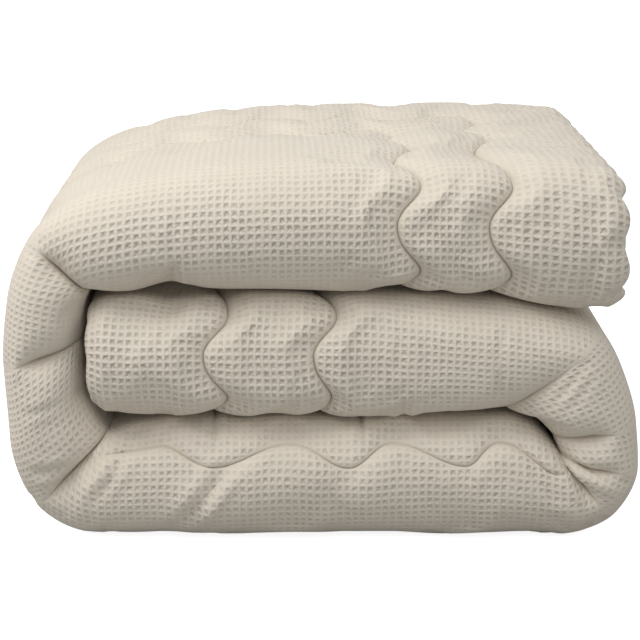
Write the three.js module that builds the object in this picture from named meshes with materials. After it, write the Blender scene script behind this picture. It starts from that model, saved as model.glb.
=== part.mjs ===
// A quilted summer duvet of waffle cloth, folded in four lengthwise and then wrapped in three, lying on a flat
// surface. It is one filled sheet: its folds, the seams that pinch it and its thin rim are one closed surface.
//
// Millimetres, +Z up. The front fold of every layer faces -Y, and the hems lie at the back.
// The sheet has two coordinates. "u" runs along the wrapped strip: from the free end of the top layer leftwards,
// round the left turn, along the bottom layer, round the right turn, and back to the free end of the middle one.
// "v" runs across the sheet: outer ply, front fold, inner ply, back fold, and the doubled ply inside them.
// "side" is 1 on the face of the cloth that shows, and -1 on the face that is folded inwards.
import * as THREE from "three";
import { ParametricGeometry } from "three/addons/geometries/ParametricGeometry.js";
import { mergeGeometries, mergeVertices } from "three/addons/utils/BufferGeometryUtils.js";

// Driving dimensions of the folded stack
const stackDepth = 500;
const frontReach = 66; // how far the front fold of a layer stands out from its flat
const foldRoundness = 0.86; // 1 for an elliptic fold, less for a boxier one
const turnRounding = 0.3; // how much rounder the fold is where a turn squeezes the layer thin
const turnTightening = 0.6; // how much less it reaches out there
const backReach = 38; // how far the back fold stands out
const halfLayer = 70; // half of a layer's thickness, where it isn't squeezed

// Plies, as shares of half a layer: the middle of the ply, and half of its thickness
const outerPly = { middle: 0.78, half: 0.22 };
const innerPly = { middle: 0.265, half: 0.225 };

// Stretches across the sheet, from the outer hem to the inner one
const outerRun = 428;
const frontFold = 212;
const innerRun = 388;
const backFold = 66;
const doubledFold = 90;
const doubledRun = 422;

// Sewing
const rimRound = 30; // width over which the filling thins to the hem
const rimScallop = { pitch: 57, topEnd: 8, middleEnd: 2, firstNotch: 102, reach: 60 };
const seamDepth = 13;
const seamReach = 42; // how far from a seam the filling is drawn down
const seamWave = { pitch: 111, swing: 13, fade: 80 };
// The nested seams. Turns are the places, from the hem, where one swings right, left, right and so on.
const nestedSeams = [
  { fromEnds: [135, 142], fromSide: 117, turns: [137, 200, 256, 340, 470, 525.5] },
  { fromEnds: [232, 260], fromSide: 218, turns: [210, 243, 316, 391, 470, 525.5] },
];
// The seam along the bottom layer. Turns are the places along X where it swings up, down, up and so on.
const frontSeam = { inFold: 146, turns: [-217, -135, -44, 30, 86, 174, 221, 290], swing: 16, fade: 115, depth: 0.75 };

// The strip seen from the front: outer and inner surface at each rib, and how far its back lies to the side
const ribs = [
  { at: "top rim", outerX: 321, outerZ: 418, innerX: 327, innerZ: 264, skew: 5 },
  { at: "top end", outerX: 265, outerZ: 425, innerX: 268, innerZ: 267, skew: -4 },
  { at: "top seam a", outerX: 187, outerZ: 427, innerX: 187, innerZ: 279, skew: -16 },
  { at: "top seam b", outerX: 90, outerZ: 426, innerX: 90, innerZ: 285, skew: -8 },
  { at: "top middle", outerX: -28, outerZ: 425, innerX: -28, innerZ: 285, skew: 0 },
  { at: "top left", outerX: -119, outerZ: 420, innerX: -118, innerZ: 285, skew: 0 },
  { at: "top slope", outerX: -175, outerZ: 412, innerX: -166, innerZ: 285, skew: -3 },
  { at: "shoulder", outerX: -228, outerZ: 399, innerX: -205, innerZ: 285, skew: -7 },
  { at: "upper corner", outerX: -276, outerZ: 380, innerX: -232, innerZ: 286, skew: -11 },
  { at: "crease 1", outerX: -312, outerZ: 349, innerX: -250, innerZ: 285, skew: -14 },
  { at: "lobe 1", outerX: -344, outerZ: 274, innerX: -262, innerZ: 262, skew: -12 },
  { at: "crease 2", outerX: -353, outerZ: 203, innerX: -264, innerZ: 230, skew: -6 },
  { at: "lobe 2", outerX: -351, outerZ: 117, innerX: -266, innerZ: 178, skew: 0 },
  { at: "crease 3", outerX: -324, outerZ: 38, innerX: -238, innerZ: 126, skew: 0 },
  { at: "lower corner", outerX: -263, outerZ: 3, innerX: -208, innerZ: 131, skew: 0 },
  { at: "bottom left", outerX: -190, outerZ: 0, innerX: -160, innerZ: 139, skew: 0 },
  { at: "bottom middle", outerX: 5, outerZ: 0, innerX: 5, innerZ: 139, skew: 0 },
  { at: "bottom right", outerX: 190, outerZ: 0, innerX: 160, innerZ: 142, skew: 0 },
  { at: "right foot", outerX: 262, outerZ: 1, innerX: 226, innerZ: 130, skew: 0 },
  { at: "crease 4", outerX: 324, outerZ: 27, innerX: 258, innerZ: 101, skew: 0 },
  { at: "crease 5", outerX: 350, outerZ: 84, innerX: 268, innerZ: 97, skew: 0 },
  { at: "crease 6", outerX: 346, outerZ: 140, innerX: 254, innerZ: 121, skew: 0 },
  { at: "lobe 3", outerX: 331, outerZ: 191, innerX: 230, innerZ: 143, skew: 0 },
  { at: "crease 7", outerX: 301, outerZ: 242, innerX: 197, innerZ: 151, skew: 0 },
  { at: "right shoulder", outerX: 255, outerZ: 262, innerX: 150, innerZ: 147, skew: 0 },
  { at: "middle right", outerX: 182, outerZ: 276, innerX: 90, innerZ: 142, skew: 0 },
  { at: "middle seam b", outerX: 2, outerZ: 282, innerX: -2, innerZ: 142, skew: 0 },
  { at: "middle seam a", outerX: -112, outerZ: 282, innerX: -114, innerZ: 142, skew: 0 },
  { at: "middle rim", outerX: -259, outerZ: 279, innerX: -259, innerZ: 148, skew: 0 },
];

// Creases of the front fold in the turns: depth is a share of the fold's reach, and width half of the valley's.
// From and full say, in degrees from the outer face round the fold, where it begins and where it is deepest.
const creases = [
  { at: "crease 1", depth: 0.56, width: 62, from: 42, full: 90 },
  { at: "crease 2", depth: 0.52, width: 62, from: 48, full: 95 },
  { at: "crease 3", depth: 0.52, width: 66, from: 35, full: 90 },
  { at: "crease 4", depth: 0.42, width: 44, from: 58, full: 100 },
  { at: "crease 5", depth: 0.36, width: 38, from: 60, full: 100 },
  { at: "crease 6", depth: 0.46, width: 44, from: 60, full: 100 },
  { at: "crease 7", depth: 0.3, width: 70, from: 60, full: 125 },
];
const creaseRun = 110; // how far back a crease runs along the inner face of its layer
const creaseNarrowing = 0.2; // how much less a crease thins its layer than it draws in the front fold

// Where each rib lies along the strip, measured on its outer surface
const ribAt = [0];
for (const [i, rib] of ribs.slice(1).entries()) {
  ribAt.push(ribAt[i] + Math.hypot(rib.outerX - ribs[i].outerX, rib.outerZ - ribs[i].outerZ));
}
const ribNamed = (name) => ribs.find((rib) => rib.at === name);
const uOf = (name) => ribAt[ribs.indexOf(ribNamed(name))];
const stripLength = uOf("middle rim");

// Where each stretch ends across the sheet
const vFront = outerRun;
const vInner = vFront + frontFold;
const vBack = vInner + innerRun;
const vDoubled = vBack + backFold;
const vDoubledFront = vDoubled + innerRun;
const vDoubledOuter = vDoubledFront + doubledFold;
const sheetWidth = vDoubledOuter + doubledRun;

// One column of the ribs as a smooth curve that never swings past its points
function alongStrip(column, u) {
  const last = ribs.length - 1;
  const rise = (n) => (ribs[n + 1][column] - ribs[n][column]) / (ribAt[n + 1] - ribAt[n]);
  const slope = (n) => {
    if (n === 0 || n === last) return rise(Math.min(n, last - 1));
    const [before, after] = [rise(n - 1), rise(n)];
    return before * after > 0 ? (2 * before * after) / (before + after) : 0;
  };
  const after = ribAt.findIndex((at) => at > u);
  const k = after < 0 ? last - 1 : Math.max(0, after - 1);
  const span = ribAt[k + 1] - ribAt[k];
  const t = (u - ribAt[k]) / span;
  const ease = t * t * (3 - 2 * t);
  return (
    ribs[k][column] * (1 - ease) +
    ribs[k + 1][column] * ease +
    span * t * (1 - t) * (slope(k) * (1 - t) - slope(k + 1) * t)
  );
}

const toEnd = (u) => Math.min(u, stripLength - u);
const fromNearEnd = (u, { fromEnds }) => fromEnds[u < stripLength / 2 ? 0 : 1];
const smooth = THREE.MathUtils.smoothstep;
const radians = THREE.MathUtils.degToRad;

// Depth of a valley with round shoulders that meet in a sharp line, from 1 on the line to 0 at its reach
const valley = (distance, reach) => {
  const x = Math.min(1, Math.abs(distance) / reach);
  return 1 - Math.sqrt(1 - (1 - x) ** 2);
};

// How full the sheet is: 0 on its hem, 1 past the rim
const filled = (distance) => 1 - valley(Math.max(0, distance), rimRound);
const fullness = (u, v) => filled(toEnd(u)) * filled(Math.min(v, sheetWidth - v));

// 0 up to start, 1 from the first full line to the last, and 0 again from stop
const band = (at, start, full, lastFull, stop) => smooth(at, start, full) * smooth(-at, -stop, -lastFull);

// 1 along the bottom layer, 0 past the creases at its ends
const onBottom = (u) => band(u, uOf("crease 3"), uOf("lower corner"), uOf("right foot"), uOf("crease 4"));

// Depth of the sewn channels on the plies that show: nested wavy oblongs, and one line along the bottom layer
function channel(u, v) {
  if (v > vBack) return 0;
  const nested = nestedSeams.map((seam) => {
    const [past, inward] = [toEnd(u) - fromNearEnd(u, seam), v - seam.fromSide];
    const inside = past >= 0 && inward >= 0;
    return inside ? Math.min(past, inward) : Math.hypot(Math.min(past, 0), Math.min(inward, 0));
  });
  const front = frontSeam.depth * onBottom(u) * valley(v - vFront - frontSeam.inFold, seamReach);
  return seamDepth * Math.max(front, ...nested.map((distance) => valley(distance, seamReach)));
}

// The grid's lines swing with the wavy seams and the scalloped hem, so that a seam lies on a line
const [outermost, innermost] = nestedSeams;
const uTurns = frontSeam.turns.map((x) => uOf("bottom middle") - ribNamed("bottom middle").outerX + x);

// 1 at the first, third, fifth turn and so on, -1 at the others, and past the turns further ones at the spacing
function swingAt(at, turns, spacing) {
  const after = turns.findIndex((turn) => turn > at);
  if (after === 0) return Math.cos((Math.PI * (at - turns[0])) / spacing);
  const start = turns.at(after - 1);
  if (after < 0) return Math.cos(Math.PI * (turns.length - 1 + (at - start) / spacing));
  return Math.cos(Math.PI * (after - 1 + (at - start) / (turns[after] - start)));
}

function swing(u, v) {
  const { fade, pitch } = seamWave;
  const [first, last] = nestedSeams.map((seam) => fromNearEnd(u, seam));
  const nearOuter = band(toEnd(u), rimRound, first, first, last);
  const nearInner = band(toEnd(u), first, last, last, last + fade);
  const sideSeams = band(v, rimRound, outermost.fromSide, innermost.fromSide, innermost.fromSide + fade);
  const seamV = vFront + frontSeam.inFold;
  const inFront = band(v, seamV - frontSeam.fade, seamV, seamV, seamV + frontSeam.fade);

  const notch = 1 - Math.abs(Math.sin((Math.PI * (v - vFront - rimScallop.firstNotch)) / rimScallop.pitch));
  const inward = u < stripLength / 2 ? rimScallop.topEnd : -rimScallop.middleEnd;
  const scalloped = smooth(-toEnd(u), -rimScallop.reach, 0) * band(v, 0, rimScallop.reach, vInner, vBack);
  const ownSwing = (seam) => swingAt(v, seam.turns, pitch / 2);
  const acrossStrip = seamWave.swing * (nearOuter * ownSwing(outermost) + nearInner * ownSwing(innermost));
  const onSides = seamWave.swing * sideSeams * Math.cos((2 * Math.PI * u) / pitch);
  const onFront = frontSeam.swing * inFront * onBottom(u) * swingAt(u, uTurns, pitch / 2);
  return { u: u + inward * notch * scalloped - acrossStrip, v: v + onSides + onFront };
}

// The folded sheet's cross-section: distance behind the front plane, and height as a share of half a layer
function crossSection(v, side, full, cut, boxiness) {
  const outer = outerPly.middle + side * outerPly.half * full - (side > 0 ? cut : 0);
  const inner = innerPly.middle - side * innerPly.half * full;
  const round = (value) => Math.sign(value) * Math.abs(value) ** boxiness;
  const arc = (radius, turn) => ({
    y: frontReach * (1 - radius * round(Math.sin(turn))),
    n: radius * round(Math.cos(turn)),
  });
  if (v < vFront) return { y: frontReach + vFront - v, n: outer };
  if (v < vInner) return arc(outer, (Math.PI * (v - vFront)) / frontFold);
  if (v < vBack) return { y: frontReach + v - vInner, n: -outer };
  if (v < vDoubled) {
    const turn = (Math.PI * (v - vBack)) / backFold;
    const radius = (outer - inner) / 2;
    const middle = (-outer - inner) / 2;
    const reach = backReach * 2 * radius;
    return { y: frontReach + innerRun + reach * Math.sin(turn), n: middle - radius * Math.cos(turn) };
  }
  if (v < vDoubledFront) return { y: frontReach + vDoubledFront - v, n: -inner };
  if (v < vDoubledOuter) return arc(inner, (Math.PI * (vDoubledOuter - v)) / doubledFold);
  return { y: frontReach + v - vDoubledOuter, n: inner };
}

// How far the creases draw in the fold at one place of the cross-section
function pinch(u, y, n) {
  const turn = y < frontReach ? Math.atan2(1 - y / frontReach, n) : n > 0 ? 0 : Math.PI;
  const behind = Math.max(0, y - frontReach);
  const depths = creases.map(({ at, depth, width, from, full }) => {
    return depth * valley(u - uOf(at), width) * smooth(turn, radians(from), radians(full));
  });
  return Math.max(...depths) * smooth(-behind, -creaseRun, 0);
}

// A point of the sheet's grid, in space. Where a turn squeezes the strip, its front fold is tighter too.
function place(gridU, gridV, side, target) {
  const { u, v } = swing(gridU, gridV);
  const columns = ["outerX", "outerZ", "innerX", "innerZ", "skew"];
  const [outerX, outerZ, innerX, innerZ, skew] = columns.map((column) => alongStrip(column, u));
  const thinned = Math.max(0, 1 - Math.hypot(outerX - innerX, outerZ - innerZ) / (2 * halfLayer));
  const cut = channel(gridU, gridV) / halfLayer;
  const section = crossSection(v, side, fullness(gridU, gridV), cut, foldRoundness + thinned * turnRounding);
  const pinched = pinch(gridU, section.y, section.n);
  const reach = frontReach * (1 - thinned * turnTightening);
  const infront = Math.max(0, frontReach - section.y) / frontReach;
  const behind = Math.max(0, section.y - frontReach) / (stackDepth - frontReach);
  const y = reach * (1 - infront * (1 - pinched)) + (stackDepth - reach) * behind;
  const n = section.n * (1 - creaseNarrowing * pinched);
  const x = (outerX * (1 + n) + innerX * (1 - n)) / 2 + (skew * y) / stackDepth;
  const z = (outerZ * (1 + n) + innerZ * (1 - n)) / 2;
  return target.set(x, y - stackDepth / 2, Math.max(0, z));
}

// Grid lines: around each mark at the given offsets, and in between no further apart than the spacing
function gridLines(marks, spacing) {
  const fixed = marks.flatMap(({ at, offsets }) => offsets.map((offset) => at + offset));
  const sorted = [...new Set(fixed)].sort((a, b) => a - b);
  const lines = [sorted[0]];
  for (const line of sorted.slice(1)) {
    const start = lines[lines.length - 1];
    const steps = Math.ceil((line - start) / spacing);
    for (let step = 1; step <= steps; step += 1) lines.push(start + ((line - start) * step) / steps);
  }
  return lines;
}

const mirrored = (offsets) => [...offsets.map((offset) => -offset), ...offsets];
const fromEnds = (length, offsets) => [
  { at: 0, offsets },
  { at: length, offsets: offsets.map((offset) => -offset) },
];
const waveLines = uTurns.slice(1).flatMap((turn, i) => [1, 2 / 3, 1 / 3].map((s) => turn + (uTurns[i] - turn) * s));
const seamLines = mirrored([0, 8, 26]);

const shownU = gridLines(
  [
    ...fromEnds(stripLength, [0, 2, 9, 20]),
    ...nestedSeams.flatMap(({ fromEnds: [first, last] }) => [
      { at: first, offsets: seamLines },
      { at: stripLength - last, offsets: seamLines },
    ]),
    ...creases.map(({ at }) => ({ at: uOf(at), offsets: seamLines })),
    { at: 0, offsets: waveLines },
  ],
  32,
);
const shownV = gridLines(
  [
    { at: 0, offsets: [0, 2, 9, 20] },
    ...nestedSeams.map(({ fromSide }) => ({ at: fromSide, offsets: mirrored([0, 9, 32]) })),
    { at: 0, offsets: [284, 318, 348, 388] },
    { at: vFront, offsets: [0, 14, 28, 43, 57, 71, 86] },
    { at: vFront + frontSeam.inFold, offsets: mirrored([0, 8, 24, 42]) },
    { at: vInner, offsets: [0, 40] },
    { at: vBack, offsets: [0] },
  ],
  120,
);
const everyThird = shownU.filter((line, i) => i % 3 === 0 || i === 2 || i === shownU.length - 3);
const doubledU = [0, ...everyThird.slice(1, -1), stripLength];
const doubledV = gridLines(
  [
    { at: vBack, offsets: [17, 33, 50, 66] },
    { at: vDoubledFront, offsets: [0, 22, 45, 68, 90] },
    { at: sheetWidth, offsets: [-20, -9, -2, 0] },
  ],
  200,
);
const hiddenU = everyThird.slice(1, -1);
const hiddenV = gridLines(
  [
    { at: 0, offsets: [9, 32] },
    { at: vFront, offsets: [0, 53, 106, 159, 212] },
    { at: vBack, offsets: [0, 17, 33, 50, 66] },
    { at: vDoubledFront, offsets: [0, 22.5, 45, 67.5, 90] },
    { at: sheetWidth, offsets: [-32, -9] },
  ],
  220,
);

const last = (list) => list[list.length - 1];
const stretch = (lines, from, to) => lines.filter((line) => line >= from && line <= to);
const spot = (u, v, side) => place(u, v, side, new THREE.Vector3());

// One stretch of the sheet's face, as a grid. The diagonals of a crosswise one run the other way, like those of
// the ply that it lies against, so that the two don't cut through each other in a crease.
function face(uLines, vLines, side, crosswise = false) {
  const pick = (lines, share) => lines[Math.round(share * (lines.length - 1))];
  const steps = [uLines.length - 1, vLines.length - 1];
  const point = (s, t, target) => {
    const [u, v] = crosswise ? [1 - t, s] : [s, t];
    return target.copy(spot(pick(uLines, side > 0 ? u : 1 - u), pick(vLines, v), side));
  };
  return new ParametricGeometry(point, ...(crosswise ? steps.reverse() : steps));
}

// A strip of triangles that joins two edges with different lines
function lacing(edge, other, flip) {
  const corners = [];
  let [i, j] = [0, 0];
  while (i < edge.length - 1 || j < other.length - 1) {
    const onEdge = j === other.length - 1 || (i < edge.length - 1 && edge[i + 1].line <= other[j + 1].line);
    const tip = onEdge ? edge[i + 1] : other[j + 1];
    const triangle = [edge[i], tip, other[j]].map((corner) => corner.point);
    corners.push(...(flip ? triangle.reverse() : triangle));
    if (onEdge) i += 1;
    else j += 1;
  }
  return new THREE.BufferGeometry().setFromPoints(corners);
}

const alongU = (lines, v, side) => lines.map((line) => ({ line, point: spot(line, v, side) }));
const alongV = (lines, u, side) => lines.map((line) => ({ line, point: spot(u, line, side) }));
const acrossV = [...shownV, ...doubledV];
const pieces = [
  face(shownU, shownV, 1),
  face(doubledU, stretch(doubledV, vBack, vDoubled), 1),
  face(doubledU, stretch(doubledV, vDoubled, vDoubledFront), 1, true),
  face(doubledU, stretch(doubledV, vDoubledFront, sheetWidth), 1),
  face(hiddenU, stretch(hiddenV, 0, vInner), -1, true),
  face(hiddenU, stretch(hiddenV, vInner, vDoubled), -1),
  face(hiddenU, stretch(hiddenV, vDoubled, vDoubledFront), -1, true),
  face(hiddenU, stretch(hiddenV, vDoubledFront, sheetWidth), -1),
  lacing(alongU(shownU, vBack, 1), alongU(doubledU, doubledV[0], 1), false),
  lacing(alongU(shownU, 0, 1), alongU(hiddenU, hiddenV[0], -1), true),
  lacing(alongU(doubledU, sheetWidth, 1), alongU(hiddenU, last(hiddenV), -1), false),
  lacing(alongV(acrossV, 0, 1), alongV(hiddenV, hiddenU[0], -1), false),
  lacing(alongV(acrossV, stripLength, 1), alongV(hiddenV, last(hiddenU), -1), true),
];
for (const piece of pieces) {
  piece.deleteAttribute("normal");
  piece.deleteAttribute("uv");
}
const loose = pieces.map((piece) => (piece.index ? piece.toNonIndexed() : piece));
const sheet = mergeVertices(mergeGeometries(loose), 0.001);
sheet.computeBoundingBox();
const middle = sheet.boundingBox.getCenter(new THREE.Vector3());
sheet.translate(-middle.x, -middle.y, 0);

const wafflecloth = new THREE.MeshStandardMaterial({ color: 0xcfc6b6, roughness: 0.95, metalness: 0 });
const duvet = new THREE.Mesh(sheet, wafflecloth);
duvet.name = "duvet";

const part = new THREE.Group();
part.add(duvet);
export default part;
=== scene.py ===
# The folded summer duvet, dressed: one padded sheet of waffle cloth, quilted along wavy lines.
# Its sizes are in millimetres and become metres when the mesh is made. Camera and lights are in metres.
import math

import bmesh
import bpy
import numpy as np
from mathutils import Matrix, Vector


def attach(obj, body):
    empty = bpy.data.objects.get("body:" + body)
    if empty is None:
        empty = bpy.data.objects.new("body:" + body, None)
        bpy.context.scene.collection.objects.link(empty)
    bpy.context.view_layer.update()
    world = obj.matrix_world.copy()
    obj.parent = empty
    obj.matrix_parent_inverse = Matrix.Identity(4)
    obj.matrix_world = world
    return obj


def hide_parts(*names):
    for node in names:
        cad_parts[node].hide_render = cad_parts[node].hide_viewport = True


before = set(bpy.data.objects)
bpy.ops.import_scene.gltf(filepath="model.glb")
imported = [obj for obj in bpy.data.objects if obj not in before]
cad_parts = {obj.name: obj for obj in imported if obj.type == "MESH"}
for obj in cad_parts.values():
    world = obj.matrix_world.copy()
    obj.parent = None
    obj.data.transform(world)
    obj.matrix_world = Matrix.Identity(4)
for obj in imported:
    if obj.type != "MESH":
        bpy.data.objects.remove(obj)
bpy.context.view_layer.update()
MM = 0.001

# Camera: the photograph's long lens, looking slightly down on the front folds
CAMERA_PLACE = Vector((-0.0004, -1.8231, 0.7306))
CAMERA_PITCH = math.radians(16.4)
CAMERA_LENS = 87.2

# Area lights: place, size, power in watts and tint
WARM = (1, 0.985, 0.96)
COOL = (0.97, 0.98, 1)
LIGHTS = {
    "key": ((-0.9, -0.8, 2.2), 1, 21, WARM),
    "side": ((-2.2, -0.2, 1), 1.5, 8, WARM),
    "front": ((0, -1.9, 2.2), 1.6, 8, COOL),
}
LIGHT_AIM = Vector((0, 0, 0.2))

# The white studio. Each pair is what the camera sees of it, and what it gives back to the duvet
FLOOR_REACH = 4
FLOOR_SHADE = (0.8, 0.4)
FLOOR_GLOW = (0.85, 0)
STUDIO_GLOW = (1.05, 0.62)
STUDIO_TINT = (1, 0.99, 0.97, 1)

# Driving dimensions of the folded stack
STACK_DEPTH = 500
FRONT_REACH = 66  # how far the front fold of a layer stands out from its flat
FOLD_ROUNDNESS = 0.86  # 1 for an elliptic fold, less for a boxier one
TURN_ROUNDING = 0.3  # how much rounder the fold is where a turn squeezes the layer thin
TURN_TIGHTENING = 0.6  # how much less it reaches out there
BACK_REACH = 38  # how far the back fold stands out
HALF_LAYER = 70  # half of a layer's thickness, where it isn't squeezed

# Plies, as shares of half a layer: the middle of the ply, and half of its thickness
OUTER_PLY = (0.78, 0.22)
INNER_PLY = (0.265, 0.225)

# Stretches across the sheet, from the outer hem to the inner one
OUTER_RUN = 428
FRONT_FOLD = 212
INNER_RUN = 388
BACK_FOLD = 66
DOUBLED_FOLD = 90
DOUBLED_RUN = 422

# Sewing
RIM_ROUND = 30  # width over which the filling thins to the hem
SEAM_DEPTH = 13
SEAM_REACH = 42  # how far from a seam the filling is drawn down
SEAM_WAVE = {"pitch": 111, "swing": 13, "fade": 80}
# Scallops of the hem at the free ends of the top and middle layer: their pitch, how far each hem is drawn in
# at a notch, the first notch's place round the front fold, and how far into the cloth they can be seen
SCALLOP = {"pitch": 57, "top_end": 8, "middle_end": 2, "first_notch": 102, "reach": 60}
# The nested seams: distances from the free ends of the top and the middle layer, and from the outer hem.
# Turns are the places, from the outer hem, where one swings right, left, right and so on
NESTED_SEAMS = [
    {"from_ends": (135, 142), "from_side": 117, "turns": [137, 200, 256, 340, 470, 525.5]},
    {"from_ends": (232, 260), "from_side": 218, "turns": [210, 243, 316, 391, 470, 525.5]},
]
# The seam along the bottom layer. Turns are the places where it swings up, down, up and so on
FRONT_SEAM = {
    "in_fold": 146,
    "turns": [-217, -135, -44, 30, 86, 174, 221, 290],
    "swing": 16,
    "fade": 115,
    "depth": 0.75,
}
# Where its stitches come out and are lost again: round its first turn, and past its last turn but one
FRONT_STITCHES = {"out_from": 60, "out_at": 30, "lost_by": 60}
FAINT_STITCHES = 3  # a distance at which stitches hardly draw the cloth flat
BURIED_STITCHES = 30  # a distance at which they don't
NO_STITCHES = 200

# The strip seen from the front: outer and inner surface at each rib, and how far its back lies to the side
RIB_COLUMNS = ["outer_x", "outer_z", "inner_x", "inner_z", "skew"]
RIBS = {
    "top rim": (321, 418, 327, 264, 5),
    "top end": (265, 425, 268, 267, -4),
    "top seam a": (187, 427, 187, 279, -16),
    "top seam b": (90, 426, 90, 285, -8),
    "top middle": (-28, 425, -28, 285, 0),
    "top left": (-119, 420, -118, 285, 0),
    "top slope": (-175, 412, -166, 285, -3),
    "shoulder": (-228, 399, -205, 285, -7),
    "upper corner": (-276, 380, -232, 286, -11),
    "crease 1": (-312, 349, -250, 285, -14),
    "lobe 1": (-344, 274, -262, 262, -12),
    "crease 2": (-353, 203, -264, 230, -6),
    "lobe 2": (-351, 117, -266, 178, 0),
    "crease 3": (-324, 38, -238, 126, 0),
    "lower corner": (-263, 3, -208, 131, 0),
    "bottom left": (-190, 0, -160, 139, 0),
    "bottom middle": (5, 0, 5, 139, 0),
    "bottom right": (190, 0, 160, 142, 0),
    "right foot": (262, 1, 226, 130, 0),
    "crease 4": (324, 27, 258, 101, 0),
    "crease 5": (350, 84, 268, 97, 0),
    "crease 6": (346, 140, 254, 121, 0),
    "lobe 3": (331, 191, 230, 143, 0),
    "crease 7": (301, 242, 197, 151, 0),
    "right shoulder": (255, 262, 150, 147, 0),
    "middle right": (182, 276, 90, 142, 0),
    "middle seam b": (2, 282, -2, 142, 0),
    "middle seam a": (-112, 282, -114, 142, 0),
    "middle rim": (-259, 279, -259, 148, 0),
}
# From the ribs' own zero to the frame of the CAD model, whose origin is under the middle of its box
SHIFT_X = 4.408
SHIFT_Y = -246.989

# Creases of the front fold in the turns: depth as a share of the fold's reach, half width of the valley, and
# in degrees from the outer face round the fold where it begins and where it is deepest
CREASES = {
    "crease 1": (0.56, 62, 42, 90),
    "crease 2": (0.52, 62, 48, 95),
    "crease 3": (0.52, 66, 35, 90),
    "crease 4": (0.42, 44, 58, 100),
    "crease 5": (0.36, 38, 60, 100),
    "crease 6": (0.46, 44, 60, 100),
    "crease 7": (0.3, 70, 60, 125),
}
CREASE_RUN = 110  # how far back a crease runs along the inner face of its layer
CREASE_NARROWING = 0.2  # how much less a crease thins its layer than it draws in the front fold
CREASE_FLATS_FROM = -180  # the plane in front of which a crease draws the weave flat

# Wrinkles of the front, as places seen from it: where one starts and ends, half its width, and its depth
WRINKLES = {
    "below the middle layer": (-119, 146, -113, 112, 8, 5),
    "below its middle": (45, 148, 46, 117, 7, 5),
    "long slant": (-97, 103, -166, 16, 14, 9),
    "left slant": (-207, 121, -262, 34, 11, 5),
    "right bow, upper half": (230, 106, 241, 66, 6, 3),
    "right bow, lower half": (240, 84, 262, 36, 6, 3),
    "middle right, upper half": (199, 260, 189, 220, 8, 3),
    "middle right, lower half": (188, 240, 196, 170, 8, 3),
    "middle ripple": (86, 258, 83, 196, 9, 2),
    "second ripple": (112, 252, 117, 190, 9, 2),
    "top notch": (-163, 283, -150, 338, 11, 7),
    "middle notch": (93, 138, 89, 178, 9, 4),
    "pucker by the seam": (-11, 215, -38, 175, 6, 2.5),
    "top ripple": (-147, 390, -159, 322, 10, 2),
    "lobe 2 ripple": (-330, 156, -268, 174, 8, 2.5),
    "lobe 2 fold": (-325, 88, -262, 100, 11, 5),
    "lobe 3 line": (283, 212, 247, 160, 6, 3),
    "lobe 3 second line": (298, 206, 261, 150, 6, 2),
    "upper fan": (268, 107, 322, 78, 6, 3),
    "lower fan": (265, 102, 310, 34, 6, 3),
}
WRINKLE_ENDS = (0.3, 0.55)  # shares of its length at which a wrinkle is full, and at which it begins to end
# The low brim on either side of a wrinkle: height as a share of its depth, place and width of its half width
BRIM = {"height": 0.4, "place": 1.15, "width": 0.45}
# Swells of the filling in the front: where one starts and ends, its half width, and its height, which is
# below 0 where the filling is thin
SWELLS = {
    "below the bottom seam's first dip": (-20, 88, -112, 52, 34, 7),
    "along the rest of it": (190, 82, 20, 84, 34, 4),
    "beside the right turn": (212, 128, 250, 100, 24, 5),
    "round the top notch": (-163, 283, -163, 295, 28, -9),
}
FRONT_FACE = (120, 170)  # how far before the middle of the stack these begin, and where they are full
SIGHT_STEP = 15  # places this far on either side tell which way the face looks, past a seam's sharp line

# The loose cloth between the seams: it is cut a little too large, and pressed out by the filling
CLOTH = {
    "quality": 5,
    "mass": 0.3,
    "tension_stiffness": 15,
    "compression_stiffness": 15,
    "shear_stiffness": 5,
    "bending_stiffness": 0.5,
    "uniform_pressure_force": 1,
    "shrink_min": -0.05,
}
CLOTH_FRAMES = 20
CLOTH_HELD = {"by_stitches": 3, "by_hem": 9, "past_fold": 120}  # how far from each the cloth is held
CLOTH_BLUR = 25  # how often the moves are blurred to tell the swelling from the creases
CLOTH_CAP = 2.5  # the most that a crease may move the cloth
# Where the creases are kept: across the open front fold, and behind it on the top layer and the left turn
CREASED_FOLD = {"before": 20, "full_by": 20, "full_to": 30, "past": 10}
CREASED_BEHIND = 60

# The waffle weave: square pits between raised floats
WAFFLE_PITCH = (8.2, 8.5)
PIT_DEPTH = 2.1
RIDGE_ROUNDING = 0.12  # how softly the ridges of the two ways meet
PIT_EDGES = (0.04, 0.5)  # where a pit begins and is deepest, in cells from the nearest ridge
MEAN_PIT_SHADE = 0.3  # how deep the cloth lies on average, as a share of a pit, and so its painted pit shade where it is flat
PIT_LUCK = (0.7, 1.1)  # the shallowest and the deepest pit
WANDER = 3.5  # how far the floats wander from straight lines
WANDER_SCALES = (37, 29)
JITTER = 2.2
JITTER_SCALE = 9
THREAD_HEIGHT = 0.06
THREAD_SCALE = 900
WEAVE_STEP = 2
TURN_GATHER = 1.15  # how much the turns crowd the weave
END_ANCHOR = 150  # how far from a free end the weave is laid true

# What flattens the pits: distances from stitches and creases over which they come back
PITS_FROM_STITCHES = (0, 7)
PITS_FROM_CREASES = (1, 6)
# How squarely the cloth looks to the key light, or to the front, at two places, and how deep its pits and
# their painted shade are at each
KEY_LIGHT_SIDE = (-0.45, -0.35, 0.82)
FRONT_SIDE = (0, -1, 0)
# Pits and their painted shade are shallower where the cloth faces the key light, and where it turns away
# into shade
FLAT_WHERE_LIT = (0.5, 0.95, 1, 0.5)
FLAT_IN_SHADE = (-0.45, 0.2, 0.2, 1)
FLATTER_AT_THE_SIDES = (0.2, 0.8, 0.6, 1)
# Random patches in how squarely the cloth counts as facing the light
LIT_PATCHES = 0.3
LIT_PATCH_SCALE = 14
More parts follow.
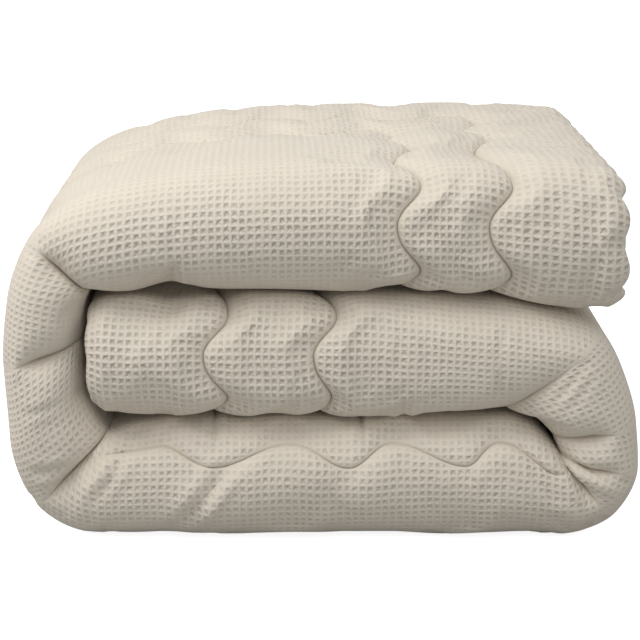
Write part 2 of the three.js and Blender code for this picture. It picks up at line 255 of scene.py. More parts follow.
# How deep the pits are along the strip, where the turns pull the cloth taut and the layers press it flat
RELIEF = {
    "shoulder": 1,
    "crease 1": 0.65,
    "crease 3": 0.65,
    "bottom left": 0.75,
    "right foot": 0.75,
    "crease 4": 0.6,
    "lobe 3": 0.6,
    "middle right": 0.8,
    "middle seam b": 1,
}

RIDGE_COLOUR = (0.76, 0.70, 0.61, 1)
WORN_COLOUR = (0.74, 0.68, 0.59, 1)
# The painted shade at the bottom of a pit
PIT_SHADOW_COLOUR = (0.54, 0.49, 0.415, 1)
# The painted shade in a seam's groove
SEAM_SHADOW_COLOUR = (0.36, 0.31, 0.25, 1)
PATCH_SCALE = 9
PATCH_EDGES = (0.35, 0.65)
SEAM_SHADOW_BY_STITCHES = (0.2, 2, 0.6, 0)  # distances from the stitches, and how much of the painted shade of the seam groove shows at each
SEAM_SHADOW_BY_LIGHT = (0.45, 0.8, 1, 0)  # the same for how squarely the cloth looks to the key light, where the painted groove shade fades
FINISH = {"Roughness": 0.9, "Sheen Weight": 0.15, "Sheen Roughness": 0.5, "Specular IOR Level": 0.15}

# Derived places: ribs along the strip (u), and stretches across the sheet (v)
ribs = {name: np.array(values, float) for name, values in zip(RIB_COLUMNS, zip(*RIBS.values()))}
rib_steps = np.hypot(np.diff(ribs["outer_x"]), np.diff(ribs["outer_z"]))
rib_at = np.concatenate([[0], np.cumsum(rib_steps)])
u_of = dict(zip(RIBS, rib_at))
strip_length = rib_at[-1]

v_front = OUTER_RUN
v_inner = v_front + FRONT_FOLD
v_back = v_inner + INNER_RUN
v_doubled = v_back + BACK_FOLD
v_doubled_front = v_doubled + INNER_RUN
v_doubled_outer = v_doubled_front + DOUBLED_FOLD
sheet_width = v_doubled_outer + DOUBLED_RUN
v_front_seam = v_front + FRONT_SEAM["in_fold"]
u_turns = u_of["bottom middle"] - RIBS["bottom middle"][0] + np.array(FRONT_SEAM["turns"])


def along_strip(column, u):
    """One column of the ribs as a smooth curve that never swings past its points."""
    values = ribs[column]
    rises = np.diff(values) / rib_steps
    before, after = rises[:-1], rises[1:]
    total = np.where(before * after > 0, before + after, 1)
    inner = np.where(before * after > 0, 2 * before * after / total, 0)
    slopes = np.concatenate([rises[:1], inner, rises[-1:]])
    k = np.clip(np.searchsorted(rib_at, u, side="right") - 1, 0, len(values) - 2)
    t = (u - rib_at[k]) / rib_steps[k]
    ease = t * t * (3 - 2 * t)
    bend = rib_steps[k] * t * (1 - t) * (slopes[k] * (1 - t) - slopes[k + 1] * t)
    return values[k] * (1 - ease) + values[k + 1] * ease + bend


def smooth(at, start, full):
    t = np.clip((at - start) / (full - start), 0, 1)
    return t * t * (3 - 2 * t)


def band(at, start, full, last_full, stop):
    """0 up to start, 1 from the first full line to the last, and 0 again from stop."""
    return smooth(at, start, full) * smooth(-at, -stop, -last_full)


def valley(distance, reach):
    """Depth of a valley with round shoulders that meet in a sharp line: 1 on the line, 0 at its reach."""
    share = 1 - np.minimum(1, np.abs(distance) / reach)
    return 1 - np.sqrt(1 - share**2)


def hill(distance, reach):
    return np.exp(-((distance / reach) ** 2))


def to_end(u):
    return np.minimum(u, strip_length - u)


def from_near_end(u, seam):
    return np.where(u < strip_length / 2, *seam["from_ends"])


def filled(distance):
    return 1 - valley(np.maximum(0, distance), RIM_ROUND)


def on_bottom(u):
    return band(u, u_of["crease 3"], u_of["lower corner"], u_of["right foot"], u_of["crease 4"])


def seam_swing(v, seam):
    """1 where a seam across the strip swings furthest right, and -1 furthest left. The waves end evenly."""
    turns = seam["turns"]
    half_wave = SEAM_WAVE["pitch"] / 2
    later = np.maximum(0, v - turns[-1]) / half_wave
    sooner = np.minimum(0, v - turns[0]) / half_wave
    return np.cos(np.pi * (np.interp(v, turns, range(len(turns))) + later + sooner))


def seam_distance(u, v, seam):
    """How far a place on the grid is from one of the nested wavy oblongs."""
    past = to_end(u) - from_near_end(u, seam)
    inward = v - seam["from_side"]
    outside = np.hypot(np.minimum(past, 0), np.minimum(inward, 0))
    return np.where((past >= 0) & (inward >= 0), np.minimum(past, inward), outside)


def channel(u, v):
    """Depth of the sewn channels on the plies that show."""
    depth = FRONT_SEAM["depth"] * on_bottom(u) * valley(v - v_front_seam, SEAM_REACH)
    for seam in NESTED_SEAMS:
        depth = np.maximum(depth, valley(seam_distance(u, v, seam), SEAM_REACH))
    return np.where(v > v_back, 0, SEAM_DEPTH * depth)


def swing(u, v):
    """The grid's lines swing with the wavy seams and the scalloped hem, so that a seam lies on a line."""
    outermost, innermost = NESTED_SEAMS
    fade, pitch, sway = SEAM_WAVE["fade"], SEAM_WAVE["pitch"], SEAM_WAVE["swing"]
    first, last = from_near_end(u, outermost), from_near_end(u, innermost)
    last_side = innermost["from_side"]
    across_first = band(to_end(u), RIM_ROUND, first, first, last) * seam_swing(v, outermost)
    across_last = band(to_end(u), first, last, last, last + fade) * seam_swing(v, innermost)
    along_sides = band(v, RIM_ROUND, outermost["from_side"], last_side, last_side + fade)
    reach = FRONT_SEAM["fade"]
    in_front = band(v, v_front_seam - reach, v_front_seam, v_front_seam, v_front_seam + reach)
    notch = 1 - np.abs(np.sin(np.pi * (v - v_front - SCALLOP["first_notch"]) / SCALLOP["pitch"]))
    inward = np.where(u < strip_length / 2, SCALLOP["top_end"], -SCALLOP["middle_end"])
    scalloped = smooth(-to_end(u), -SCALLOP["reach"], 0) * band(v, 0, SCALLOP["reach"], v_inner, v_back)
    across_strip = sway * (across_first + across_last)
    on_sides = sway * along_sides * np.cos(2 * np.pi * u / pitch)
    rise = np.cos(np.pi * np.interp(u, u_turns, range(len(u_turns))))
    on_front = FRONT_SEAM["swing"] * in_front * on_bottom(u) * rise
    return u + inward * notch * scalloped - across_strip, v + on_sides + on_front


def cross_section(v, side, full, cut, roundness):
    """The folded sheet's section: distance behind the front plane, and height as a share of half a layer."""
    outer = OUTER_PLY[0] + side * OUTER_PLY[1] * full - (cut if side > 0 else 0)
    inner = INNER_PLY[0] - side * INNER_PLY[1] * full
    back = (outer - inner) / 2
    front_turn = np.pi * np.clip((v - v_front) / FRONT_FOLD, 0, 1)
    back_turn = np.pi * np.clip((v - v_back) / BACK_FOLD, 0, 1)
    doubled_turn = np.pi * np.clip((v_doubled_outer - v) / DOUBLED_FOLD, 0, 1)

    def arc(radius, turn):
        sine, cosine = np.sin(turn), np.cos(turn)
        y = FRONT_REACH * (1 - radius * np.abs(sine) ** roundness)
        return y, radius * np.sign(cosine) * np.abs(cosine) ** roundness

    front_y, front_n = arc(outer, front_turn)
    doubled_y, doubled_n = arc(inner, doubled_turn)
    back_y = FRONT_REACH + INNER_RUN + BACK_REACH * 2 * back * np.sin(back_turn)
    back_n = (-outer - inner) / 2 - back * np.cos(back_turn)
    stops = [v_front, v_inner, v_back, v_doubled, v_doubled_front, v_doubled_outer]
    stretches = [v < stop for stop in stops]
    inner_y = FRONT_REACH + v - v_inner
    doubling_y = FRONT_REACH + v_doubled_front - v
    outer_y = FRONT_REACH + v_front - v
    last_y = FRONT_REACH + v - v_doubled_outer
    y = np.select(stretches, [outer_y, front_y, inner_y, back_y, doubling_y, doubled_y], last_y)
    n = np.select(stretches, [outer, front_n, -outer, back_n, -inner, doubled_n], inner)
    return y, n


def pinch(u, y, n):
    """How far the creases draw in the fold at one place of the cross-section."""
    turn = np.where(y < FRONT_REACH, np.arctan2(1 - y / FRONT_REACH, n), np.where(n > 0, 0, np.pi))
    deepest = 0
    for name, (depth, width, start, full) in CREASES.items():
        along = smooth(turn, math.radians(start), math.radians(full))
        deepest = np.maximum(deepest, depth * valley(u - u_of[name], width) * along)
    return deepest * smooth(-np.maximum(0, y - FRONT_REACH), -CREASE_RUN, 0)


def fold_up(u, v, side, full, cut):
    """Points of the folded sheet in space. Where a turn squeezes the strip, its front fold is tighter."""
    outer_x, outer_z, inner_x, inner_z, skew = [along_strip(column, u) for column in RIB_COLUMNS]
    thinned = np.maximum(0, 1 - np.hypot(outer_x - inner_x, outer_z - inner_z) / (2 * HALF_LAYER))
    section_y, section_n = cross_section(v, side, full, cut, FOLD_ROUNDNESS + thinned * TURN_ROUNDING)
    pinched = pinch(u, section_y, section_n)
    reach = FRONT_REACH * (1 - thinned * TURN_TIGHTENING)
    in_front = np.maximum(0, FRONT_REACH - section_y) / FRONT_REACH
    behind = np.maximum(0, section_y - FRONT_REACH) / (STACK_DEPTH - FRONT_REACH)
    y = reach * (1 - in_front * (1 - pinched)) + (STACK_DEPTH - reach) * behind
    n = section_n * (1 - CREASE_NARROWING * pinched)
    x = (outer_x * (1 + n) + inner_x * (1 - n)) / 2 + skew * y / STACK_DEPTH
    z = (outer_z * (1 + n) + inner_z * (1 - n)) / 2
    return np.stack([x + SHIFT_X, y + SHIFT_Y, np.maximum(0, z)], -1)


def surface(grid_u, grid_v, side):
    """Points of the sewn sheet at places on its grid."""
    u, v = swing(grid_u, grid_v)
    full = filled(to_end(grid_u)) * filled(np.minimum(grid_v, sheet_width - grid_v))
    return fold_up(u, v, side, full, channel(grid_u, grid_v) / HALF_LAYER)


def outward(grid_u, grid_v):
    """Which way the shown face looks at places on its grid."""
    along = surface(grid_u + SIGHT_STEP, grid_v, 1) - surface(grid_u - SIGHT_STEP, grid_v, 1)
    across = surface(grid_u, grid_v + SIGHT_STEP, 1) - surface(grid_u, grid_v - SIGHT_STEP, 1)
    normal = np.cross(along, across)
    return normal / np.maximum(np.linalg.norm(normal, axis=-1, keepdims=True), 1e-6)


def along_line(place, start_x, start_z, end_x, end_z):
    """How far each place is from a line, and how far along it, as a share of its length."""
    start = np.array([start_x, start_z], float)
    run = np.array([end_x, end_z], float) - start
    share = np.clip((place - start) @ run / (run @ run), 0, 1)
    return np.linalg.norm(place - start - share[:, None] * run, axis=-1), share


def dents(points):
    """How deep the wrinkles of the front are at each point, less the height of its swells."""
    depth = np.zeros(len(points))
    place = points[:, [0, 2]]
    full, ending = WRINKLE_ENDS
    for *line, reach, deep in WRINKLES.values():
        distance, share = along_line(place, *line)
        brim = BRIM["height"] * hill(distance / reach - BRIM["place"], BRIM["width"])
        taper = smooth(share, 0, full) * smooth(-share, -1, -ending)
        depth += deep * taper * (valley(distance, reach) - brim)
    for *line, reach, height in SWELLS.values():
        distance, _ = along_line(place, *line)
        depth -= height * hill(distance, reach)
    return depth * smooth(-points[:, 1], *FRONT_FACE)


def lengths(points, axis):
    """Length along each line of a grid of points, from its start."""
    steps = np.linalg.norm(np.diff(points, axis=axis), axis=-1)
    start = np.zeros_like(np.take(steps, [0], axis))
    return np.cumsum(np.concatenate([start, steps], axis), axis)


def lay_out_weave():
    """The weave keeps its size round the folds, and what a crease swallows is lost in the crease."""
    u, v = np.meshgrid(WEAVE_U, WEAVE_V, indexing="ij")
    points = fold_up(u, v, 1, 1, 0)
    across, along = lengths(points, 0), lengths(points, 1)
    across += u - across[:, :1]
    crossings = [0] + [u_of[name] for name in CREASES] + [strip_length + 1]
    true_at = {
        0: END_ANCHOR,
        u_of["crease 3"]: u_of["bottom middle"],
        u_of["crease 7"]: strip_length - END_ANCHOR,
    }
    weave_u = np.zeros_like(across)
    for start, stop in zip(crossings, crossings[1:]):
        lobe = (u[:, 0] >= start) & (u[:, 0] < stop)
        anchor = int(true_at.get(start, (start + stop) / 2) / WEAVE_STEP)
        gathered = 1 if start in true_at else TURN_GATHER
        weave_u[lobe] = (across[lobe] - across[anchor]) * gathered + u[anchor, 0]
    fold_middle = int((v_front + FRONT_FOLD / 2) / WEAVE_STEP)
    weave_v = along - along[:, [fold_middle]] + v[0, fold_middle]
    return np.stack([weave_u, weave_v], -1)


def sample(table, u_lines, v_lines, u, v):
    """Values between the points of a table that is spread over the sheet."""
    i = np.clip(np.searchsorted(u_lines, u, side="right") - 1, 0, len(u_lines) - 2)
    j = np.clip(np.searchsorted(v_lines, v, side="right") - 1, 0, len(v_lines) - 2)
    s = np.clip((u - u_lines[i]) / (u_lines[i + 1] - u_lines[i]), 0, 1)[..., None]
    t = np.clip((v - v_lines[j]) / (v_lines[j + 1] - v_lines[j]), 0, 1)[..., None]
    lower = table[i, j] * (1 - s) + table[i + 1, j] * s
    upper = table[i, j + 1] * (1 - s) + table[i + 1, j + 1] * s
    return lower * (1 - t) + upper * t


def stitch_distance(grid_u, grid_v):
    """Distance to the nearest line of stitches on the plies that show."""
    out_from, out_at = u_turns[0] - FRONT_STITCHES["out_from"], u_turns[0] + FRONT_STITCHES["out_at"]
    sewn = band(grid_u, out_from, out_at, u_turns[-2], u_turns[-2] + FRONT_STITCHES["lost_by"])
    lost = FAINT_STITCHES * (1 - sewn)
    nearest = np.abs(grid_v - v_front_seam) + lost + BURIED_STITCHES * (1 - on_bottom(grid_u))
    for seam in NESTED_SEAMS:
        nearest = np.minimum(nearest, np.abs(seam_distance(grid_u, grid_v, seam)))
    return np.where(grid_v > v_back, NO_STITCHES, nearest)


def crease_distance(u, points):
    """Distance to the nearest crease line in the turns, as far as the crease is there."""
    nearest = np.min([np.abs(u - u_of[name]) for name in CREASES], 0)
    return nearest + np.maximum(0, points[:, 1] - CREASE_FLATS_FROM)


def grid_lines(marks, spacing):
    """Lines around each mark at the given offsets, and in between no further apart than the spacing."""
    fixed = sorted({round(float(at + offset), 3) for at, offsets in marks for offset in offsets})
    lines = [fixed[0]]
    for line in fixed[1:]:
        steps = math.ceil((line - lines[-1]) / spacing)
        lines.extend(np.linspace(lines[-1], line, steps + 1)[1:])
    return np.array(lines)


def negative(offsets):
    return [-offset for offset in offsets]


def strip_marks(rim_offsets, line_offsets):
    """Marks along the strip: its two rims, the nested seams at both ends, and the creases."""
    return (
        [(0, rim_offsets), (strip_length, negative(rim_offsets))]
        + [(seam["from_ends"][0], line_offsets) for seam in NESTED_SEAMS]
        + [(strip_length - seam["from_ends"][1], line_offsets) for seam in NESTED_SEAMS]
        + [(u_of[name], line_offsets) for name in CREASES]
    )


# Lines of the grids, closer together where the cloth bends: distances from a seam, a crease, a rim or a fold
SEAM_SIDE = [0, 1.2, 3, 6, 10, 15, 21, 28, 35, 42]
SEAM_LINES = negative(SEAM_SIDE) + SEAM_SIDE
STITCH_LINES = [-3, -1.2, 0, 1.2, 3]
RIM_LINES = [0, 0.6, 2, 4.5, 8, 12.5, 18, 24, 30]
HIDDEN_RIM_LINES = [8, 18, 30]
FRONT_LINES = [*np.linspace(-60, 0, 7), *np.linspace(0, FRONT_FOLD, 41)]
INNER_LINES = [0, 10, 20, 32, 48, 70, 100]
BACK_LINES = [5, 12, 22, 33, 44, 54, 61, 66]
DOUBLED_LINES = np.linspace(0, DOUBLED_FOLD, 13)
HIDDEN_FRONT_LINES = np.linspace(0, FRONT_FOLD, 17)
HIDDEN_BACK_LINES = [0, 12, 33, 54, 66]
HIDDEN_DOUBLED_LINES = np.linspace(0, DOUBLED_FOLD, 17)
LOOSE_RIM_LINES = [0, 8]
# The widest space between two lines: along the strip and across it, where the cloth hardly shows, and in the
# simulation
ALONG_SPACING = 6
ACROSS_SPACING = 16
HIDDEN_SPACING = 60
CLOTH_SPACING = 10.5

shown_u = grid_lines(strip_marks(RIM_LINES, SEAM_LINES), ALONG_SPACING)
shown_v = grid_lines(
    [
        (0, RIM_LINES),
        *[(seam["from_side"], SEAM_LINES) for seam in NESTED_SEAMS],
        (v_front, FRONT_LINES),
        (v_front_seam, STITCH_LINES),
        (v_inner, INNER_LINES),
        (v_back, [0]),
    ],
    ACROSS_SPACING,
)
doubled_v = grid_lines(
    [
        (v_back, BACK_LINES),
        (v_doubled_front, DOUBLED_LINES),
        (sheet_width, negative(RIM_LINES)),
    ],
    HIDDEN_SPACING,
)
hidden_v = grid_lines(
    [
        (0, HIDDEN_RIM_LINES),
        (v_front, HIDDEN_FRONT_LINES),
        (v_back, HIDDEN_BACK_LINES),
        (v_doubled_front, HIDDEN_DOUBLED_LINES),
        (sheet_width, negative(HIDDEN_RIM_LINES)),
    ],
    HIDDEN_SPACING,
)
loose_u = grid_lines(strip_marks(LOOSE_RIM_LINES, [0]), CLOTH_SPACING)
loose_v = grid_lines(
    [
        (0, LOOSE_RIM_LINES),
        *[(seam["from_side"], [0]) for seam in NESTED_SEAMS],
        (v_front_seam, [0]),
        (v_back, [0]),
    ],
    CLOTH_SPACING,
)
# The faces that hardly show have every third line, and stop short of the rim's closest lines
hidden_u = shown_u[4:-4:3]
doubled_u = np.concatenate([shown_u[:1], hidden_u, shown_u[-1:]])

WEAVE_U = np.arange(0, strip_length, WEAVE_STEP)
WEAVE_V = np.arange(0, v_back, WEAVE_STEP)


def lay_grid(bm, u_lines, v_lines):
    """A flat grid with a vertex where two lines cross. Gives the vertices, and each one's column and row."""
    columns, rows = len(u_lines) - 1, len(v_lines) - 1
    made = bmesh.ops.create_grid(bm, x_segments=columns, y_segments=rows, size=1)["verts"]
    column_of = [round((vert.co.x + 1) / 2 * columns) for vert in made]
    row_of = [round((vert.co.y + 1) / 2 * rows) for vert in made]
    return made, column_of, row_of


def place_object(name, bm):
    mesh = bpy.data.meshes.new(name)
    bm.to_mesh(mesh)
    bm.free()
    placed = bpy.data.objects.new(name, mesh)
    bpy.context.scene.collection.objects.link(placed)
    return placed


def blurred(table, times):
    for _ in range(times):
        for axis in (0, 1):
            ends = [(1, 1) if n == axis else (0, 0) for n in range(3)]
            wide = np.pad(table, ends, mode="edge")
            count = table.shape[axis]
            before, after = [np.take(wide, np.arange(count) + shift, axis) for shift in (0, 2)]
            table = (before + 2 * table + after) / 4
    return table


def press_out_cloth(u, v):
    """Simulates the shown face as loose cloth that its filling pushes out and its seams hold.

    Gives how far each place of it moves."""
    start = surface(u, v, 1) * MM
    bm = bmesh.new()
    made, columns, rows = lay_grid(bm, loose_u, loose_v)
    for vert, column, row in zip(made, columns, rows):
        vert.co = start[column, row]
    sheet = place_object("loose_sheet", bm)
    by_stitches = stitch_distance(u, v) < CLOTH_HELD["by_stitches"]
    by_hem = np.minimum(to_end(u), v) < CLOTH_HELD["by_hem"]
    held = by_stitches | by_hem | (v > v_inner + CLOTH_HELD["past_fold"])
    group = sheet.vertex_groups.new(name="held")
    group.add([n for n, (column, row) in enumerate(zip(columns, rows)) if held[column, row]], 1, "REPLACE")

    cloth = sheet.modifiers.new("cloth", "CLOTH")
    cloth.settings.vertex_group_mass = "held"
    cloth.settings.use_pressure = True
    for name, value in CLOTH.items():
        setattr(cloth.settings, name, value)
    cloth.settings.effector_weights.gravity = 0
    cloth.point_cache.frame_end = CLOTH_FRAMES
    scene = bpy.context.scene
    for number in range(1, CLOTH_FRAMES + 1):
        scene.frame_set(number)
    settled = sheet.evaluated_get(bpy.context.evaluated_depsgraph_get()).to_mesh()
    moved = np.zeros(start.shape)
    for vert, column, row in zip(settled.vertices, columns, rows):
        moved[column, row] = Vector(vert.co) - Vector(start[column, row])
    scene.frame_set(1)
    mesh = sheet.data
    bpy.data.objects.remove(sheet)
    bpy.data.meshes.remove(mesh)
    return moved / MM


def crease_by_cloth():
    """The small creases of loose cloth, without its swelling, which the folded shape has already."""
    u, v = np.meshgrid(loose_u, loose_v, indexing="ij")
    moved = press_out_cloth(u, v)
    creased = moved - blurred(moved, CLOTH_BLUR)
    size = np.maximum(np.linalg.norm(creased, axis=-1, keepdims=True), 1e-6)
    creased *= CLOTH_CAP * np.tanh(size / CLOTH_CAP) / size
    before, past = v_front - CREASED_FOLD["before"], v_inner + CREASED_FOLD["past"]
    full_by, full_to = v_front + CREASED_FOLD["full_by"], v_inner - CREASED_FOLD["full_to"]
    in_fold = band(v, before, full_by, full_to, past)
    top_and_turn = band(u, -1, 0, u_of["crease 3"], u_of["lower corner"])
    behind = top_and_turn * smooth(-v, -v_front - CREASED_BEHIND, -v_front)
    return creased * np.maximum(in_fold, behind)[..., None]


weave_places = lay_out_weave()
creasing = crease_by_cloth()


def add_face(bm, u_lines, v_lines, side, facts):
    """One stretch of the sheet's face as a grid. Gives its vertices by column and row, and adds facts."""
    made, columns, rows = lay_grid(bm, u_lines, v_lines)
    grid_u, grid_v = u_lines[columns], v_lines[rows]
    points = surface(grid_u, grid_v, side)
    if v_lines[0] == 0:
        points -= outward(grid_u, grid_v) * dents(points)[:, None]
        points += sample(creasing, loose_u, loose_v, grid_u, grid_v)
        points[:, 2] = np.maximum(0, points[:, 2])
    table = {}
    for vert, point, column, row in zip(made, points * MM, columns, rows):
        vert.co = point
        table[column, row] = vert
    u, v = swing(grid_u, grid_v)
    on_shown = (v < v_back)[:, None]
    laid = sample(weave_places, WEAVE_U, WEAVE_V, u, v)
    facts["weave"].append(np.where(on_shown, laid, np.stack([u, v], -1)))
    facts["stitch"].append(np.where(side > 0, stitch_distance(grid_u, grid_v), NO_STITCHES))
    facts["crease"].append(crease_distance(u, points))
    facts["relief"].append(np.interp(u, [u_of[name] for name in RELIEF], list(RELIEF.values())))
    if side < 0:
        bmesh.ops.reverse_faces(bm, faces=list({face for vert in made for face in vert.link_faces}))
    return table


def lace(bm, edge, other, flip):
    """Joins two edges with different lines by a strip of triangles. An edge lists its lines and vertices."""
    i = j = 0
    while i < len(edge) - 1 or j < len(other) - 1:
        on_edge = j == len(other) - 1 or (i < len(edge) - 1 and edge[i + 1][0] <= other[j + 1][0])
        tip = edge[i + 1][1] if on_edge else other[j + 1][1]
        corners = [edge[i][1], tip, other[j][1]]
        bm.faces.new(corners[::-1] if flip else corners)
        i, j = (i + 1, j) if on_edge else (i, j + 1)


def make_duvet():
    bm = bmesh.new()
    facts = {"weave": [], "stitch": [], "crease": [], "relief": []}
    shown = add_face(bm, shown_u, shown_v, 1, facts)
    doubled = add_face(bm, doubled_u, doubled_v, 1, facts)
    hidden = add_face(bm, hidden_u, hidden_v, -1, facts)
    columns, rows = len(shown_u) - 1, len(shown_v) - 1
    doubled_columns, doubled_rows = len(doubled_u) - 1, len(doubled_v) - 1
    hidden_columns, hidden_rows = len(hidden_u) - 1, len(hidden_v) - 1

    def row(table, lines, at):
        return [(line, table[i, at]) for i, line in enumerate(lines)]

    def column(table, lines, at):
        return [(line, table[at, j]) for j, line in enumerate(lines)]

    lace(bm, row(shown, shown_u, rows), row(doubled, doubled_u, 0), False)
    lace(bm, row(shown, shown_u, 0), row(hidden, hidden_u, 0), True)
    lace(bm, row(doubled, doubled_u, doubled_rows), row(hidden, hidden_u, hidden_rows), False)
    first_end = column(shown, shown_v, 0) + column(doubled, doubled_v, 0)
    last_end = column(shown, shown_v, columns) + column(doubled, doubled_v, doubled_columns)
    lace(bm, first_end, column(hidden, hidden_v, 0), False)
    lace(bm, last_end, column(hidden, hidden_v, hidden_columns), True)

    duvet = place_object("duvet_quilted", bm)
    mesh = duvet.data
    loops = np.zeros(len(mesh.loops), int)
    mesh.loops.foreach_get("vertex_index", loops)
    laid = np.concatenate(facts.pop("weave"))[loops] * MM
    mesh.uv_layers.new(name="weave").uv.foreach_set("vector", laid.astype(np.float32).ravel())
    for name, stretches in facts.items():
        layer = mesh.attributes.new(name, "FLOAT", "POINT")
        layer.data.foreach_set("value", np.concatenate(stretches).astype(np.float32))
    mesh.polygons.foreach_set("use_smooth", np.ones(len(mesh.polygons), bool))
    return duvet


class Nodes:
    """Builds one material's nodes from short calls."""

    def __init__(self, tree):
        self.tree = tree

    def add(self, kind, **settings):
        made = self.tree.nodes.new(kind)
        for name, value in settings.items():
            setattr(made, name, value)
        return made

    def put(self, value, socket):
        if isinstance(value, bpy.types.NodeSocket):
            self.tree.links.new(value, socket)
        else:
            socket.default_value = value

    def math(self, operation, *values):
        made = self.add("ShaderNodeMath", operation=operation)
        for value, socket in zip(values, made.inputs):
            self.put(value, socket)
        return made.outputs[0]

    def ramp(self, value, low, high, start=0.0, stop=1.0):
        """Eases from one number to another as a value goes from low to high."""
        made = self.add("ShaderNodeMapRange", interpolation_type="SMOOTHSTEP")
        for part, socket in zip([value, low, high, start, stop], made.inputs):
            self.put(part, socket)
        return made.outputs[0]

    def mix(self, share, first, second):
        made = self.add("ShaderNodeMix", data_type="RGBA")
        self.put(share, made.inputs[0])
        self.put(first, made.inputs[6])
        self.put(second, made.inputs[7])
        return made.outputs[2]

    def noise(self, place_m, scale, detail):
        made = self.add("ShaderNodeTexNoise")
        self.put(place_m, made.inputs["Vector"])
        made.inputs["Scale"].default_value = scale
        made.inputs["Detail"].default_value = detail
        return made.outputs["Fac"]

    def value(self, name):
        return self.add("ShaderNodeAttribute", attribute_name=name).outputs["Fac"]

    def facing(self, side):
        """How squarely the cloth looks to one side: 1 straight at it, -1 straight away."""
        made = self.add("ShaderNodeVectorMath", operation="DOT_PRODUCT")
        self.put(self.add("ShaderNodeTexCoord").outputs["Normal"], made.inputs[0])
        made.inputs[1].default_value = side
        return made.outputs["Value"]


def count_cells(n, weave):
    """The place on the weave, counted in cells each way. The floats wander, and jitter between cells."""
    split = n.add("ShaderNodeSeparateXYZ")
    n.put(weave, split.inputs[0])
    cells = []
    for axis, (scale, pitch) in enumerate(zip(WANDER_SCALES, WAFFLE_PITCH)):
        wander = n.math("ADD", n.noise(weave, scale, 1), -0.5)
        jitter = n.math("ADD", n.noise(weave, scale * JITTER_SCALE, 0), -0.5)
        swayed = n.math("MULTIPLY_ADD", wander, WANDER * MM, split.outputs[axis])
        swayed = n.math("MULTIPLY_ADD", jitter, JITTER * MM, swayed)
        cells.append(n.math("MULTIPLY", swayed, 1 / (pitch * MM)))
    return cells


def pit_depth(n, weave, cells, to_light):
    """How deep the pits are from place to place: by luck, less where the cloth is drawn flat, and less where
    it faces the key light or turns away into shade. This depth drives the bump and the painted shade of the
    pits.
    """
    number = n.add("ShaderNodeCombineXYZ")
    for cell, socket in zip(cells, number.inputs):
        n.put(n.math("FLOOR", cell), socket)
    luck = n.add("ShaderNodeTexWhiteNoise", noise_dimensions="2D")
    n.put(number.outputs[0], luck.inputs["Vector"])
    shallowest, deepest = PIT_LUCK
    uneven = n.math("MULTIPLY_ADD", luck.outputs["Value"], deepest - shallowest, shallowest)
    by_stitches = n.ramp(n.value("stitch"), *PITS_FROM_STITCHES)
    flattened = n.math("MULTIPLY", by_stitches, n.ramp(n.value("crease"), *PITS_FROM_CREASES))

    # Where the cloth faces the key light its pits and their painted shade are made shallow, and where it
    # turns away into shade they are made shallow too
    patches = n.math("MULTIPLY_ADD", n.noise(weave, LIT_PATCH_SCALE, 2), LIT_PATCHES, -LIT_PATCHES / 2)
    facing_light = n.math("ADD", to_light, patches)
    depth = n.math("MULTIPLY", n.ramp(facing_light, *FLAT_WHERE_LIT), n.ramp(facing_light, *FLAT_IN_SHADE))
    depth = n.math("MULTIPLY", depth, n.ramp(n.facing(FRONT_SIDE), *FLATTER_AT_THE_SIDES))
    depth = n.math("MULTIPLY", depth, n.value("relief"))
    return n.math("MULTIPLY", n.math("MULTIPLY", uneven, flattened), depth)


def make_cloth():
    """Cream waffle cloth: square pits between raised floats, drawn flat along the stitches, with painted
    shade in the pits and along the seam grooves.
    """
    material = bpy.data.materials.new("cream_waffle_cloth")
    material.use_nodes = True
    n = Nodes(material.node_tree)
    shader = material.node_tree.nodes["Principled BSDF"]
    for name, value in FINISH.items():
        shader.inputs[name].default_value = value

    weave = n.add("ShaderNodeUVMap", uv_map="weave").outputs["UV"]
    cells = count_cells(n, weave)
    to_ridges = [n.math("PINGPONG", cell, 0.5) for cell in cells]
    pit = n.ramp(n.math("SMOOTH_MIN", *to_ridges, RIDGE_ROUNDING), *PIT_EDGES)
    to_light = n.facing(KEY_LIGHT_SIDE)
    depth = pit_depth(n, weave, cells, to_light)
    # Painted shade in the pits: the colour darkens towards a pit's middle, by as much as the pit is deep
    shade = n.math("MULTIPLY_ADD", n.math("SUBTRACT", pit, MEAN_PIT_SHADE), depth, MEAN_PIT_SHADE)

    sunk = n.math("MULTIPLY", n.math("MULTIPLY", pit, depth), -1)
    height = n.math("MULTIPLY_ADD", n.noise(weave, THREAD_SCALE, 2), THREAD_HEIGHT, sunk)
    bump = n.add("ShaderNodeBump")
    bump.inputs["Strength"].default_value = 1
    bump.inputs["Distance"].default_value = PIT_DEPTH * MM
    n.put(height, bump.inputs["Height"])
    n.put(bump.outputs["Normal"], shader.inputs["Normal"])

    patches = n.ramp(n.noise(weave, PATCH_SCALE, 3), *PATCH_EDGES)
    colour = n.mix(shade, n.mix(patches, RIDGE_COLOUR, WORN_COLOUR), PIT_SHADOW_COLOUR)
    # Painted shade along the seam grooves, which fades where the cloth faces the key light
    line = n.math("MULTIPLY", n.ramp(n.value("stitch"), *SEAM_SHADOW_BY_STITCHES), n.ramp(to_light, *SEAM_SHADOW_BY_LIGHT))
    n.put(n.mix(line, colour, SEAM_SHADOW_COLOUR), shader.inputs["Base Color"])
    return material


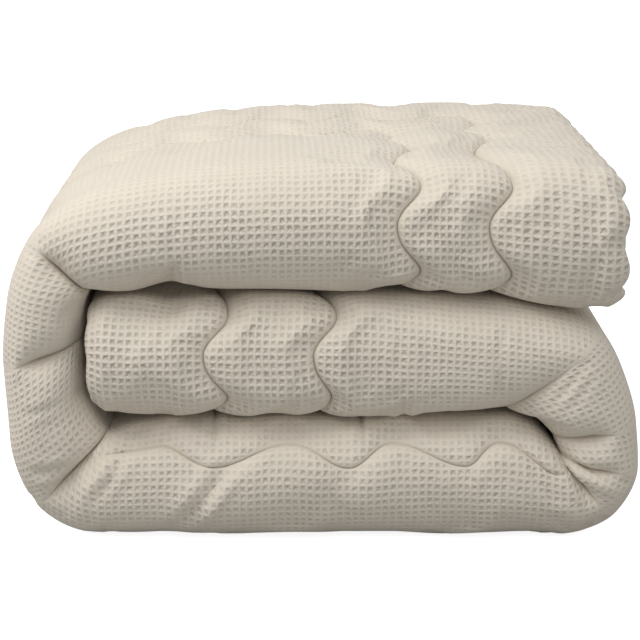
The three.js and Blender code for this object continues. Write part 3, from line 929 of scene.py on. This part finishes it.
def camera_sees(n, seen, given_back):
    """One value for what the camera sees of the studio, another for the light that the studio gives back."""
    path = n.add("ShaderNodeLightPath").outputs["Is Camera Ray"]
    return n.math("MULTIPLY_ADD", path, seen - given_back, given_back)


def make_stage():
    bm = bmesh.new()
    bmesh.ops.create_grid(bm, x_segments=1, y_segments=1, size=FLOOR_REACH)
    floor = place_object("floor", bm)
    material = bpy.data.materials.new("pale_floor")
    material.use_nodes = True
    n = Nodes(material.node_tree)
    shader = material.node_tree.nodes["Principled BSDF"]
    shade = n.add("ShaderNodeCombineColor")
    for socket in shade.inputs:
        n.put(camera_sees(n, *FLOOR_SHADE), socket)
    n.put(shade.outputs[0], shader.inputs["Base Color"])
    shader.inputs["Emission Color"].default_value = (1, 1, 1, 1)
    n.put(camera_sees(n, *FLOOR_GLOW), shader.inputs["Emission Strength"])
    shader.inputs["Roughness"].default_value = 1
    shader.inputs["Specular IOR Level"].default_value = 0
    floor.data.materials.append(material)


def make_light(name, place, size, power, tint):
    light = bpy.data.lights.new(name, "AREA")
    light.size = size
    light.energy = power
    light.color = tint
    lamp = bpy.data.objects.new(name, light)
    lamp.location = place
    aim = LIGHT_AIM - lamp.location
    lamp.rotation_euler = aim.to_track_quat("-Z", "Y").to_euler()
    bpy.context.scene.collection.objects.link(lamp)


def make_world():
    world = bpy.data.worlds.new("studio")
    world.use_nodes = True
    n = Nodes(world.node_tree)
    background = world.node_tree.nodes["Background"]
    background.inputs["Color"].default_value = STUDIO_TINT
    n.put(camera_sees(n, *STUDIO_GLOW), background.inputs["Strength"])
    bpy.context.scene.world = world


def make_camera():
    camera = bpy.data.objects.new("camera", bpy.data.cameras.new("camera"))
    camera.data.lens = CAMERA_LENS
    camera.location = CAMERA_PLACE
    camera.rotation_euler = (math.pi / 2 - CAMERA_PITCH, 0, 0)
    bpy.context.scene.collection.objects.link(camera)
    bpy.context.scene.camera = camera
    bpy.context.scene.view_settings.view_transform = "Standard"


make_camera()
make_stage()
for name, (place, size, power, tint) in LIGHTS.items():
    make_light(name, place, size, power, tint)
make_world()

duvet = make_duvet()
duvet.data.materials.append(make_cloth())
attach(duvet, "root")
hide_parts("duvet")
